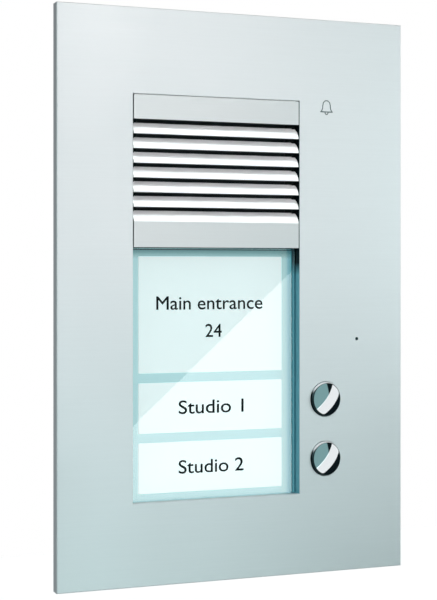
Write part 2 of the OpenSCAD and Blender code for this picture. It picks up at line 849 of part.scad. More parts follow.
module electronics_housing() {
    y_all = [y_baffle, y_housing_end];
    color("darkslategray") difference() {
        union() {
            difference() {
                round_block(housing_x, y_all, housing_z, housing_corner_r);
                block(bay_x, [y_bay, y_housing_end + cut], bay_z);
            }
            for (p = board_holes) rod(boss_d, [y_bay - cut, y_main_board], p[0], p[1]);
            for (p = cover_holes) rod(boss_d, [y_bay - cut, y_housing_end], p[0], p[1]);
            for (p = standoffs) housing_ear(p);
        }
        rod(speaker_hole_d, [y_baffle - cut, y_bay + cut], x_mid, speaker_z);
        for (p = standoffs)
            rod(m3 + screw_clear, [y_baffle - cut, y_bay + cut], p[0], p[1]);
        for (p = board_holes)
            rod(m25 + bite, [y_board_back - small_screw_l - 0.3, y_main_board + cut], p[0], p[1]);
        for (p = cover_holes)
            rod(m25 + bite, [y_cover_end - small_screw_l - 0.3, y_housing_end + cut], p[0], p[1]);
        for (turn = clip_turns)
            rod(m25 + bite, [y_bay + 2 * clip_t - clip_screw_l - 0.2, y_bay + cut],
                x_mid + clip_screw_r * cos(turn), speaker_z - clip_screw_r * sin(turn));
        block([bay_x[1] - cut, housing_x[1] + cut],
            [y_housing_end - grommet_depth, y_housing_end + cut],
            [grommet_z - grommet_half, grommet_z + grommet_half]);
    }
}

module housing_screws() {
    color("silver")
        for (p = standoffs) pan_screw(m3, 5.6, 2, housing_screw_l, p[0], y_bay, p[1], -1);
}

module main_board() {
    y = [y_main_board, y_board_back];
    through = [y[0] - cut, y[1] + cut];
    color("seagreen") difference() {
        block(main_board_x, y, main_board_z);
        for (p = board_holes) rod(m25 + screw_clear, through, p[0], p[1]);
        for (p = cover_holes) rod(boss_d + 1, through, p[0], p[1]);
    }
}

module board_screws() {
    color("silver")
        for (p = board_holes) pan_screw(m25, 4.6, 1.6, small_screw_l, p[0], y_board_back, p[1], -1);
}

module processor_chip() {
    half = chip_side / 2;
    pin_pitch = chip_side / (chip_pins + 1);
    translate([chip_centre[0], y_board_back, chip_centre[1]]) {
        color("black") block([-half, half], [0, 1.6], [-half, half]);
        color("silver")
            for (i = [1 : chip_pins]) {
                at = -half + i * pin_pitch;
                block([-half - 1, half + 1], [0.3, 0.6], [at - 0.25, at + 0.25]);
                block([at - 0.25, at + 0.25], [0.3, 0.6], [-half - 1, half + 1]);
            }
    }
}

module relay() {
    color("royalblue")
        block([relay_corner[0], relay_corner[0] + relay_size[0]],
            [y_board_back, y_board_back + relay_size[1]],
            [relay_corner[1], relay_corner[1] + relay_size[2]]);
}

module capacitors() {
    color("midnightblue")
        for (p = capacitor_places) difference() {
            rod(capacitor_d, [y_board_back, y_board_back + capacitor_h], p[0], p[1]);
            turned(p[0], p[1])
                translate([capacitor_d / 2 + 0.2, y_board_back + 1.6]) circle(r = 0.5);
        }
}

module board_connectors() {
    wall = 0.9;
    color("ivory")
        for (p = connector_places) difference() {
            block([p[0] - connector_size[0] / 2, p[0] + connector_size[0] / 2],
                [y_board_back, y_board_back + connector_size[1]],
                [p[1] - connector_size[2] / 2, p[1] + connector_size[2] / 2]);
            block([p[0] - connector_size[0] / 2 + wall, p[0] + connector_size[0] / 2 - wall],
                [y_board_back + 1.5, y_board_back + connector_size[1] + cut],
                [p[1] - connector_size[2] / 2 + wall, p[1] + connector_size[2] / 2 - wall]);
        }
}

module trimmer_bodies() {
    half = trimmer_side / 2;
    color("steelblue")
        for (x = [volume_x, mic_trimmer_x]) difference() {
            block([x - half, x + half], [y_board_back, y_board_back + trimmer_h],
                [trimmer_z - half, trimmer_z + half]);
            rod(rotor_d + rotor_play, [y_rotor - 0.3, y_board_back + trimmer_h + cut], x, trimmer_z);
        }
}

// Rotor with a screwdriver slot
module trimmer_rotor(x) {
    y_top = y_rotor + rotor_h;
    color("white") difference() {
        rod(rotor_d, [y_rotor, y_top], x, trimmer_z);
        block([x - 0.4, x + 0.4], [y_top - 1, y_top + cut], [trimmer_z - 2.4, trimmer_z + 2.4]);
    }
}
module volume_trimmer_rotor() { trimmer_rotor(volume_x); }
module microphone_trimmer_rotor() { trimmer_rotor(mic_trimmer_x); }

// Shrouded socket on the board with one pin for each pole
module terminal_header() {
    half = plug_half + fit_gap + header_wall;
    color("seagreen") difference() {
        block([x_mid - half, x_mid + half], [y_board_back, y_board_back + header_h],
            [terminal_z - header_half_z, terminal_z + header_half_z]);
        block([x_mid - half + header_wall, x_mid + half - header_wall],
            [y_board_back + 1.2, y_board_back + header_h + cut],
            [terminal_z - header_half_z + header_wall, terminal_z + header_half_z - header_wall]);
    }
    color("silver")
        for (x = pole_xs)
            block([x - pin_side / 2, x + pin_side / 2], [y_board_back + 1, y_board_back + 7],
                [terminal_z - pin_side / 2, terminal_z + pin_side / 2]);
}

// Pull-off screw terminal: the wires enter from the back and are clamped from below
module terminal_plug() {
    socket = pin_side / 2 + 0.3;
    nose_half_z = header_half_z - header_wall - fit_gap;
    color("limegreen") difference() {
        union() {
            block([x_mid - plug_half, x_mid + plug_half], [y_plug, y_plug_shoulder + cut],
                [terminal_z - nose_half_z, terminal_z + nose_half_z]);
            block([x_mid - plug_half, x_mid + plug_half], [y_plug_shoulder, y_plug_end],
                [terminal_z - plug_half_z, terminal_z + plug_half_z]);
        }
        for (x = pole_xs) {
            block([x - socket, x + socket], [y_plug - cut, y_plug + 6],
                [terminal_z - socket, terminal_z + socket]);
            rod(3, [y_plug_end - 6.5, y_plug_end + cut], x, terminal_z + 1.2);
            translate([x, (y_plug_shoulder + y_plug_end) / 2, terminal_z - plug_half_z - cut])
                cylinder(d = clamp_screw_d + bite, h = cut + 3.6);
        }
    }
}

module terminal_clamp_screws() {
    y = (y_plug_shoulder + y_plug_end) / 2;
    z = terminal_z - plug_half_z + 0.6;
    color("silver")
        for (x = pole_xs) difference() {
            translate([x, y, z]) cylinder(d = clamp_screw_d, h = 3);
            block([x - 0.3, x + 0.3], [y - 2, y + 2], [z - cut, z + 0.8]);
        }
}

module rear_cover() {
    y = [y_housing_end, y_cover_end];
    through = [y[0] - cut, y[1] + cut];
    color("darkslategray") difference() {
        round_block(housing_x, y, housing_z, housing_corner_r);
        block([x_mid - plug_half - 1, x_mid + plug_half + 1], through,
            [terminal_z - plug_half_z - 1, terminal_z + plug_half_z + 1]);
        for (x = [volume_x, mic_trimmer_x]) rod(rotor_d + 1, through, x, trimmer_z);
        for (p = cover_holes) rod(m25 + screw_clear, through, p[0], p[1]);
        for (i = [0 : vent_count - 1]) {
            z = speaker_z + (i - (vent_count - 1) / 2) * vent_pitch;
            block([x_mid - vent_w / 2, x_mid + vent_w / 2], through, [z - 0.9, z + 0.9]);
        }
    }
}

module rear_cover_screws() {
    color("silver")
        for (p = cover_holes) pan_screw(m25, 4.6, 1.6, small_screw_l, p[0], y_cover_end, p[1], -1);
}

// ---- leads ----

y_lead = y_housing_end - grommet_depth / 2;
mic_lead_z = grommet_z + 1.2;
button_lead_z = grommet_z - 1.2;
y_socket = y_board_back + 2;
y_capsule_end = y_plate_back + boot_lip + capsule_t + 0.1;
y_pad = y_button_board + board_t + 0.2;
speaker_route = [
    [x_mid, y_bay + 4.4, speaker_z - 21.2], [x_mid, y_bay + 8, speaker_z - 24],
    [x_mid - 2, y_socket + 6, 20], [connector_places[0][0], y_socket + 5, 13.5],
    [connector_places[0][0], y_socket, 12]
];
microphone_route = [
    [mic_x, y_capsule_end, mic_z], [mic_x, y_capsule_end + 2, mic_z], [mic_x - 1, 9, mic_z + 0.5],
    [52, 16, -16], [43, 21, mic_lead_z], [37, y_lead, mic_lead_z], [33, y_lead, mic_lead_z],
    [27, y_lead, mic_lead_z], [24, y_lead, mic_lead_z],
    [connector_places[1][0], y_socket + 4, -20], [connector_places[1][0], y_socket, -20]
];
button_route = [
    [button_x + 2, y_pad, -34], [button_x + 2, y_pad + 2, -34], [button_x + 1, 19, -29],
    [40, 22, -21], [36, y_lead, button_lead_z], [33, y_lead, button_lead_z],
    [27, y_lead, button_lead_z], [24, y_lead, button_lead_z],
    [connector_places[2][0], y_socket + 5, -30], [connector_places[2][0], y_socket, -31]
];

module speaker_lead() {
    color("red") swept_tube(curve(speaker_route, 4), lead_d, [1, 0, 0]);
}
module microphone_lead() {
    color("orange") swept_tube(curve(microphone_route, 4), lead_d, [0, 0, 1]);
}
module button_lead() {
    color("khaki") swept_tube(curve(button_route, 4), lead_d, [0, 0, 1]);
}

// Rubber bush in the housing's side wall, with a hole for each lead
module lead_grommet() {
    y = [y_housing_end - grommet_depth, y_housing_end];
    color("black") difference() {
        union() {
            block([bay_x[1], housing_x[1]], y, [grommet_z - grommet_half, grommet_z + grommet_half]);
            for (x = [[bay_x[1] - 1, bay_x[1]], [housing_x[1], housing_x[1] + 1]])
                block(x, [y[0] - 1, y[1]],
                    [grommet_z - grommet_half - 1, grommet_z + grommet_half + 1]);
        }
        for (z = [mic_lead_z, button_lead_z])
            translate([bay_x[1] - 1 - cut, y_lead, z]) rotate([0, 90, 0])
                cylinder(d = lead_d + 0.2, h = housing_wall + 2 + 2 * cut);
    }
}

// ---- wall frame ----

module mounting_frame() {
    sheet = [-frame_t, 0];
    through = [-frame_t - cut, cut];
    color("lightsteelblue") difference() {
        union() {
            difference() {
                round_block([-frame_w / 2, frame_w / 2], sheet, [-frame_h / 2, frame_h / 2], 4);
                block([-window_x, window_x], through, [-window_z, window_z]);
            }
            for (x = [[-window_x, -window_x + frame_t], [window_x - frame_t, window_x]])
                block(x, [-frame_t, lip_depth], [-window_z, window_z]);
            for (x = fixing_xs) {
                tab = [x - tab_w / 2, x + tab_w / 2];
                block(tab, [-frame_t, y_tab + frame_t], [-window_z - frame_t, -window_z]);
                block(tab, [y_tab, y_tab + frame_t], [-window_z - frame_t, tab_top_z]);
            }
        }
        for (x = hook_xs)
            block([x - hook_w / 2 - 1, x + hook_w / 2 + 1], through, [z_hook, z_hook + slot_h]);
        for (x = [-wall_screw_dx / 2, wall_screw_dx / 2])
            for (z = [-wall_screw_dz / 2, wall_screw_dz / 2])
                rod(wall_screw_hole_d, through, x, z);
        for (x = fixing_xs)
            rod(m4 + bite, [y_tab - cut, y_tab + frame_t + cut], x, fixing_z);
    }
}

// Screws under the lower name label that pull the panel onto the wall frame
module fixing_screws() {
    color("silver")
        for (x = fixing_xs)
            pan_screw(m4, fixing_head_d, fixing_head_h, fixing_length, x, y_floor, fixing_z);
}

module wall_seal() {
    inner = [frame_w / 2 + seal_gap, frame_h / 2 + seal_gap];
    outer = [inner[0] + seal_w, inner[1] + seal_w];
    color("black") difference() {
        round_block([-outer[0], outer[0]], [-seal_t, 0], [-outer[1], outer[1]], 4);
        block([-inner[0], inner[0]], [-seal_t - cut, cut], [-inner[1], inner[1]]);
    }
}

front_plate();
plate_studs();
stud_nuts();
plate_standoffs();
hanging_hooks();
speaker_grille();
grille_screen();
speaker_gasket();
speaker_frame();
speaker_surround();
speaker_cone();
speaker_dust_cap();
speaker_magnet();
speaker_clips();
speaker_screws();
label_window();
info_label();
name_label_1();
name_label_2();
light_guide();
label_tray();
backlight_board();
backlight_leds();
button_1_cap();
button_1_spring();
button_1_plunger();
button_2_cap();
button_2_spring();
button_2_plunger();
button_gasket();
button_housing();
tact_switches();
button_board();
button_board_screws();
microphone_felt();
microphone_boot();
microphone_capsule();
electronics_housing();
housing_screws();
main_board();
board_screws();
processor_chip();
relay();
capacitors();
board_connectors();
trimmer_bodies();
volume_trimmer_rotor();
microphone_trimmer_rotor();
terminal_header();
terminal_plug();
terminal_clamp_screws();
rear_cover();
rear_cover_screws();
lead_grommet();
speaker_lead();
microphone_lead();
button_lead();
mounting_frame();
fixing_screws();
wall_seal();
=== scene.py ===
"""Looks of the door intercom panel: materials, small printed details, smooth button caps and springs, and the studio.
"""
import json
import math

import bpy
from mathutils import Matrix, Vector


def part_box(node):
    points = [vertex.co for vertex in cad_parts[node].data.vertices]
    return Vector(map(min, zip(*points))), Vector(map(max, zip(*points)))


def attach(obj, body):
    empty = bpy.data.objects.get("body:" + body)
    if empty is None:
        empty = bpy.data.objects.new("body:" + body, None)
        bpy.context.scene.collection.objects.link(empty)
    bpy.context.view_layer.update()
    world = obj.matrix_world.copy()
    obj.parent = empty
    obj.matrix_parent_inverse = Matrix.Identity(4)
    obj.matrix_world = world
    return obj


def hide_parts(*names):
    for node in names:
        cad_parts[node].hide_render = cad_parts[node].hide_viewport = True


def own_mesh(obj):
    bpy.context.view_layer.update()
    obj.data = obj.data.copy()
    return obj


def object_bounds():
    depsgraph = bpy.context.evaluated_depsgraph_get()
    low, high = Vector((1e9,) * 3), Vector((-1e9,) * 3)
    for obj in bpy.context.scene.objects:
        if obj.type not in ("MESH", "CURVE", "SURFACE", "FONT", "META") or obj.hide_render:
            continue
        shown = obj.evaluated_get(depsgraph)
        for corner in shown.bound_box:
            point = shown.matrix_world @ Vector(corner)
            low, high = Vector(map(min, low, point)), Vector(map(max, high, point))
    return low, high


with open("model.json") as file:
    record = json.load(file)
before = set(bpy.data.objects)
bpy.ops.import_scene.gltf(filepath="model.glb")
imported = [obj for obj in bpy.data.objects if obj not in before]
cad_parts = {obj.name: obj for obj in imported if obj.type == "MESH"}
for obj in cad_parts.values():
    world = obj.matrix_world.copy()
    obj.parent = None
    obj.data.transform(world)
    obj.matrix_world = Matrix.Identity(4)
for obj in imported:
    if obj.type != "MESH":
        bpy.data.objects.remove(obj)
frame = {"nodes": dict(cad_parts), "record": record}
cad_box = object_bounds()
nodes = frame["nodes"]
record = frame["record"]
MM = 0.001


# ---- node-graph helpers ----


class Graph:
    """Short calls that add nodes to one node tree. Lengths in its coordinates are millimetres."""

    def __init__(self, tree):
        self.tree = tree

    def add(self, kind, inputs=None, **settings):
        made = self.tree.nodes.new(kind)
        for key, value in settings.items():
            setattr(made, key, value)
        for key, value in (inputs or {}).items():
            self.feed(made.inputs[key], value)
        return made

    def feed(self, socket, value):
        if isinstance(value, bpy.types.NodeSocket):
            self.tree.links.new(value, socket)
        elif hasattr(socket.default_value, "__len__") and len(socket.default_value) == 4 and len(value) == 3:
            socket.default_value = (*value, 1)
        else:
            socket.default_value = value

    def coords(self, scale=(1, 1, 1), turn=(0, 0, 0)):
        """Object coordinates in millimetres, turned and then scaled."""
        place = self.add("ShaderNodeTexCoord").outputs["Object"]
        steps = [1000 * s for s in scale]
        return self.add("ShaderNodeMapping", {0: place, "Scale": steps, "Rotation": turn}).outputs[0]

    def noise(self, scale, vector=None, detail=3, roughness=0.5):
        vector = vector or self.coords()
        inputs = {"Vector": vector, "Scale": scale, "Detail": detail, "Roughness": roughness}
        return self.add("ShaderNodeTexNoise", inputs).outputs[0]

    def cells(self, scale, vector=None, output="Distance", feature="F1"):
        inputs = {"Vector": vector or self.coords(), "Scale": scale}
        return self.add("ShaderNodeTexVoronoi", inputs, feature=feature).outputs[output]

    def wave(self, scale, vector, distortion=0.0):
        inputs = {"Vector": vector, "Scale": scale, "Distortion": distortion}
        return self.add("ShaderNodeTexWave", inputs).outputs[1]

    def facing(self):
        """X, Y and Z of the surface's own direction."""
        return self.split(self.add("ShaderNodeNewGeometry").outputs["Normal"])

    def split(self, vector):
        return self.add("ShaderNodeSeparateXYZ", {0: vector}).outputs

    def math(self, operation, a, b=0.0, c=0.0, clamp=False):
        inputs = {0: a, 1: b, 2: c}
        return self.add("ShaderNodeMath", inputs, operation=operation, use_clamp=clamp).outputs[0]

    def rescale(self, value, low, high, to_low=0.0, to_high=1.0, smooth=False):
        kind = "SMOOTHSTEP" if smooth else "LINEAR"
        inputs = {"Value": value, "From Min": low, "From Max": high, "To Min": to_low, "To Max": to_high}
        return self.add("ShaderNodeMapRange", inputs, interpolation_type=kind).outputs[0]

    def mix(self, factor, a, b, blend="MIX"):
        made = self.add("ShaderNodeMix", data_type="RGBA", blend_type=blend)
        for index, value in ((0, factor), (6, a), (7, b)):
            self.feed(made.inputs[index], value)
        return made.outputs[2]

    def ramp(self, factor, stops, kind="LINEAR"):
        made = self.add("ShaderNodeValToRGB", {0: factor})
        made.color_ramp.interpolation = kind
        elements = made.color_ramp.elements
        while len(elements) < len(stops):
            elements.new(0.5)
        for element, (place, color) in zip(elements, stops):
            element.position = place
            element.color = (*color, 1)
        return made.outputs[0]

    def bump(self, height, depth, below=None):
        """Bump whose height of 1 is depth millimetres."""
        inputs = {"Height": height, "Distance": depth * MM, "Strength": 1.0}
        if below:
            inputs["Normal"] = below
        return self.add("ShaderNodeBump", inputs).outputs[0]


class Surface(Graph):
    """A Principled material. Uniform values go straight on the shader's sockets."""

    def __init__(self, name, color, roughness, metallic=0.0, **sockets):
        self.material = bpy.data.materials.new(name)
        self.material.use_nodes = True
        super().__init__(self.material.node_tree)
        self.shader = self.tree.nodes["Principled BSDF"]
        self.set("Base Color", color)
        self.set("Roughness", roughness)
        self.set("Metallic", metallic)
        for key, value in sockets.items():
            self.set(key.replace("_", " "), value)

    def set(self, socket, value):
        self.feed(self.shader.inputs[socket], value)

    def vary_color(self, value, low, high):
        self.set("Base Color", self.mix(value, low, high))

    def vary_roughness(self, value, low, high):
        self.set("Roughness", self.rescale(value, 0.3, 0.7, low, high))


def shade(color, factor):
    return tuple(min(1.0, c * factor) for c in color)


# ---- materials ----

ALONG_X = (0.012, 1.0, 1.0)
# Depth in millimetres behind the grille's front from which its faces get painted shade
RECESS_SHADE_FROM = 2.7
# Painted shade and teal reflection on the opening walls, and the darker painted shadow near their top
REVEAL_PAINTED_SHADE = (0.2, 0.46, 0.54)
REVEAL_SHADOW_TOP = (0.01, 0.025, 0.03)


def brushed_aluminium(name, color, roughness):
    """Clear anodised aluminium with fine brush lines along X."""
    s = Surface(name, color, roughness, metallic=1.0)
    lines = s.noise(2.6, s.coords(ALONG_X), detail=6, roughness=0.75)
    clouds = s.noise(0.02, detail=2)
    s.vary_color(lines, shade(color, 0.96), shade(color, 1.04))
    both = s.math("ADD", s.math("MULTIPLY", lines, 0.7), s.math("MULTIPLY", clouds, 0.3))
    s.vary_roughness(both, roughness - 0.05, roughness + 0.05)
    s.set("Normal", s.bump(lines, 0.004))
    return s


def plate_finish():
    """The plate's aluminium, with painted dark teal shade and reflection on the wall at the right of each opening,
    darker near the top as painted shadow.
    """
    s = brushed_aluminium("plate_aluminium", (0.86, 0.885, 0.89), 0.42)
    x, y, z = s.split(s.coords())
    # Painted shade: walls behind the front that face left, inside the openings
    behind = s.math("GREATER_THAN", y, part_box("front_plate")[0].y / MM + 0.12)
    inner = s.math("LESS_THAN", s.math("ABSOLUTE", x), 70.0)
    toward_left = s.math("LESS_THAN", s.facing()[0], -0.5)
    reveal_shade_mask = s.math("MULTIPLY", behind, s.math("MULTIPLY", inner, toward_left))
    plain = s.shader.inputs["Base Color"].links[0].from_socket
    # Painted shadow: the walls get darker towards the top of the openings
    edge = s.mix(s.rescale(z, 8.5, 13.5), REVEAL_PAINTED_SHADE, REVEAL_SHADOW_TOP)
    s.set("Base Color", s.mix(reveal_shade_mask, plain, edge))
    return s


def grille_finish():
    """The grille's aluminium, with painted shade behind the blades and under them, and its flat front faces dimmed a
    little as painted shade.
    """
    s = brushed_aluminium("grille_aluminium", (0.84, 0.865, 0.865), 0.38)
    y = s.split(s.coords())[1]
    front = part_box("speaker_grille")[0].y / MM
    up = s.facing()[2]
    # Painted shade: deep faces that don't face up, and faces that face down, turn nearly black
    behind = s.math("GREATER_THAN", y, front + RECESS_SHADE_FROM)
    hidden = s.math("MULTIPLY", behind, s.math("LESS_THAN", up, 0.1))
    under = s.math("MULTIPLY", s.math("GREATER_THAN", y, front + 0.1), s.math("LESS_THAN", up, -0.05))
    plain = s.shader.inputs["Base Color"].links[0].from_socket
    # Painted shade: faces that don't face up are dimmed, so the flat front bands stay duller than the blades
    flat = s.rescale(up, 0.15, 0.05)
    plain = s.mix(flat, plain, s.mix(1.0, plain, (0.77, 0.78, 0.78), "MULTIPLY"))
    s.set("Base Color", s.mix(s.math("MAXIMUM", hidden, under), plain, (0.01, 0.015, 0.015)))
    return s


def zinc_steel(name="zinc_steel"):
    s = Surface(name, (0.62, 0.64, 0.67), 0.3, metallic=1.0)
    bloom = s.noise(0.9, detail=4)
    s.vary_color(bloom, (0.55, 0.57, 0.6), (0.72, 0.73, 0.74))
    s.vary_roughness(bloom, 0.22, 0.42)
    s.set("Normal", s.bump(s.noise(6, detail=3), 0.01))
    return s


def sheet_steel():
    """Zinc-plated sheet: soft cloudy spangle and faint rolling lines."""
    s = Surface("frame_steel", (0.6, 0.62, 0.64), 0.35, metallic=1.0)
    spangle = s.cells(0.22, output="Color")
    tone = s.split(spangle)[0]
    rolling = s.noise(1.8, s.coords((1.0, 1.0, 0.03)), detail=4)
    s.vary_color(s.math("MULTIPLY", s.math("ADD", tone, rolling), 0.5), (0.5, 0.53, 0.56), (0.74, 0.75, 0.76))
    s.vary_roughness(rolling, 0.26, 0.44)
    s.set("Normal", s.bump(rolling, 0.006))
    return s


def moulded(name, color, roughness, grain=0.03, scale=1.6, spread=0.12):
    """Moulded plastic with a fine eroded grain and slight variation of tone."""
    s = Surface(name, color, roughness)
    s.vary_color(s.noise(0.06, detail=3), shade(color, 1 - spread), shade(color, 1 + spread))
    fine = s.noise(scale, detail=4, roughness=0.7)
    s.vary_roughness(fine, roughness - 0.06, roughness + 0.08)
    s.set("Normal", s.bump(fine, grain))
    return s


def rubber(name, color):
    s = moulded(name, color, 0.72, grain=0.02, scale=2.5)
    s.set("Specular IOR Level", 0.35)
    return s


def chrome():
    s = Surface("button_chrome", (0.93, 0.95, 0.96), 0.04, metallic=1.0)
    wear = s.noise(0.35, detail=5, roughness=0.7)
    s.vary_roughness(wear, 0.025, 0.06)
    s.set("Normal", s.bump(s.noise(1.2, detail=2), 0.0008))
    # Painted shade and painted reflection: the cap's rounded edge and side turn dark except where they face up
    _, front, up = s.facing()
    edge = s.math("GREATER_THAN", front, -0.955)
    shaded = s.math("MULTIPLY", edge, s.rescale(up, 0.6, 0.35))
    s.set("Base Color", s.mix(shaded, (0.93, 0.95, 0.96), CAP_EDGE_PAINTED_SHADE))
    return s


# Colour of the painted shade on the button caps' edges and sides
CAP_EDGE_PAINTED_SHADE = (0.035, 0.06, 0.065)
# Painted teal glow on the pane's right end face
PANE_END_PAINTED_GLOW = (0.03, 0.165, 0.205)


def acrylic():
    """Clear pane; its right end face is opaque and dark, with a painted teal glow that turns black near the top as
    painted shadow.
    """
    s = Surface("clear_acrylic", (0.93, 0.985, 0.985), 0.0, Transmission_Weight=1.0, IOR=1.49)
    s.set("Specular IOR Level", 0.9)
    x, _, z = s.split(s.coords())
    end = s.math("GREATER_THAN", x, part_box("label_window")[1].x / MM - 0.02)
    s.set("Transmission Weight", s.math("SUBTRACT", 1.0, end))
    s.set("Base Color", s.mix(end, (0.93, 0.985, 0.985), (0.01, 0.03, 0.035)))
    # Painted light and shadow: the end face glows teal, darkening to black near the top
    teal = s.mix(s.rescale(z, 8.5, 13.5), PANE_END_PAINTED_GLOW, (0.0, 0.004, 0.006))
    s.set("Emission Color", s.mix(end, (0, 0, 0), teal))
    s.set("Emission Strength", end)
    return s


# Glow colours of the backlit window; the last stops darken the guide's right end as light falloff and painted shade
WINDOW_LIGHT = {
    "label": (0.42, 0.43, 0.43),
    "guide": (0.39, 0.555, 0.575),
    "fade": [(0.42, (0.4, 0.55, 0.56)), (0.58, (0.34, 0.52, 0.54)), (0.72, (0.27, 0.46, 0.52)),
             (0.86, (0.16, 0.38, 0.43)), (0.95, (0.12, 0.38, 0.44)), (1.0, (0.12, 0.48, 0.55))],
}


def label_film():
    s = Surface("label_film", (0.8, 0.9, 0.9), 0.5)
    paper = s.noise(1.1, detail=5, roughness=0.65)
    s.vary_color(paper, (0.76, 0.87, 0.88), (0.84, 0.93, 0.93))
    glow = s.noise(0.02, detail=1)
    tone = s.mix(glow, shade(WINDOW_LIGHT["label"], 0.97), shade(WINDOW_LIGHT["label"], 1.03))
    s.set("Emission Color", tone)
    s.set("Emission Strength", 0.7)
    return s


def light_guide():
    """Satin acrylic lit from its left edge. Towards its right end it dims partly by real light falloff and partly as
    painted shade of the opening wall; towards its top it dims as painted shadow.
    """
    s = Surface("light_guide_acrylic", (0.5, 0.72, 0.75), 0.4)
    x, _, z = s.split(s.coords())
    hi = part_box("light_guide")[1] / MM
    # Partly light falloff and partly painted shade: the glow dims towards the right end
    tone = s.ramp(s.rescale(x, hi.x - 6.0, hi.x), [(0.0, WINDOW_LIGHT["guide"]), *WINDOW_LIGHT["fade"]])
    # Painted shadow: the glow and colour darken towards the top
    shade_top = s.ramp(s.rescale(z, hi.z - 4.4, hi.z - 0.2), [
        (0.0, (0.8, 0.85, 0.85)), (0.6, (0.3, 0.42, 0.42)), (0.78, (0.2, 0.34, 0.35)), (0.84, (0.01, 0.03, 0.035))])
    tone = s.mix(1.0, tone, shade_top, "MULTIPLY")
    s.set("Emission Color", tone)
    s.set("Emission Strength", 0.8)
    s.set("Base Color", s.mix(1.0, tone, (0.9, 0.9, 0.9), "MULTIPLY"))
    s.set("Specular IOR Level", 0.2)
    return s


def label_tray():
    """Pale tray, with painted shade where it faces away from its light and a painted glow in the guide's colour on
    faces pointing up.
    """
    s = moulded("tray_plastic", (0.35, 0.5, 0.53), 0.45)
    across, _, up = s.facing()
    # Painted shade where the tray faces away from its light
    away = s.math("MAXIMUM", s.math("LESS_THAN", across, -0.5), s.math("LESS_THAN", up, -0.5))
    plain = s.shader.inputs["Base Color"].links[0].from_socket
    s.set("Base Color", s.mix(away, plain, (0.02, 0.1, 0.13)))
    # Painted light: faces pointing up glow as if lit by the guide
    foot = s.math("GREATER_THAN", up, 0.5)
    s.set("Emission Color", s.mix(foot, (0, 0, 0), WINDOW_LIGHT["guide"]))
    s.set("Emission Strength", 0.6)
    return s


def circuit_board(name, mask, copper):
    """Solder mask over copper tracks, with plated pads."""
    s = Surface(name, mask, 0.35, Coat_Weight=0.5, Coat_Roughness=0.15)
    grid = s.coords()
    x, _, z = s.split(grid)
    cell = s.cells(0.35, grid, output="Color")
    pick = s.split(cell)[0]
    across = s.math("FRACT", s.math("MULTIPLY", x, 0.7))
    along = s.math("FRACT", s.math("MULTIPLY", z, 0.7))
    lines = s.mix(s.math("GREATER_THAN", pick, 0.5), across, along)
    track = s.rescale(lines, 0.36, 0.4)
    s.set("Base Color", s.mix(track, mask, copper))
    dots = s.rescale(s.cells(0.28, grid), 0.16, 0.13)
    plated = s.math("MULTIPLY", dots, s.math("GREATER_THAN", pick, 0.35))
    s.set("Base Color", s.mix(plated, s.mix(track, mask, copper), (0.75, 0.74, 0.7)))
    s.set("Metallic", plated)
    s.set("Normal", s.bump(track, 0.02))
    return s


def woven(name, color, pitch):
    s = Surface(name, color, 0.85, Sheen_Weight=0.2)
    x, _, z = s.split(s.coords())
    warp = s.math("SINE", s.math("MULTIPLY", x, 2 * math.pi / pitch))
    weft = s.math("SINE", s.math("MULTIPLY", z, 2 * math.pi / pitch))
    weave = s.math("MULTIPLY", warp, weft)
    s.set("Base Color", s.mix(s.rescale(weave, -1, 1), shade(color, 0.4), shade(color, 1.6)))
    s.set("Normal", s.bump(weave, 0.05))
    return s


def fibrous(name, color, depth):
    """Felt, pressed paper or open foam."""
    s = Surface(name, color, 0.9, Sheen_Weight=0.15)
    fibres = s.noise(1.4, detail=8, roughness=0.8)
    s.vary_color(fibres, shade(color, 0.6), shade(color, 1.5))
    s.set("Normal", s.bump(fibres, depth))
    return s


def ferrite():
    """Dark sintered magnet between two zinc-plated plates, told apart by depth."""
    s = Surface("magnet_ferrite", (0.07, 0.07, 0.075), 0.6)
    lo, hi = [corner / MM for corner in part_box("speaker_magnet")]
    y = s.split(s.coords())[1]
    plate = 2.0
    front = s.math("LESS_THAN", y, lo.y + plate)
    back = s.math("GREATER_THAN", y, hi.y - plate)
    metal = s.math("ADD", front, back)
    grain = s.noise(1.5, detail=5)
    s.set("Base Color", s.mix(metal, s.mix(grain, (0.05, 0.05, 0.055), (0.1, 0.1, 0.105)), (0.62, 0.64, 0.67)))
    s.set("Metallic", metal)
    s.vary_roughness(grain, 0.35, 0.55)
    s.set("Normal", s.bump(grain, 0.03))
    return s


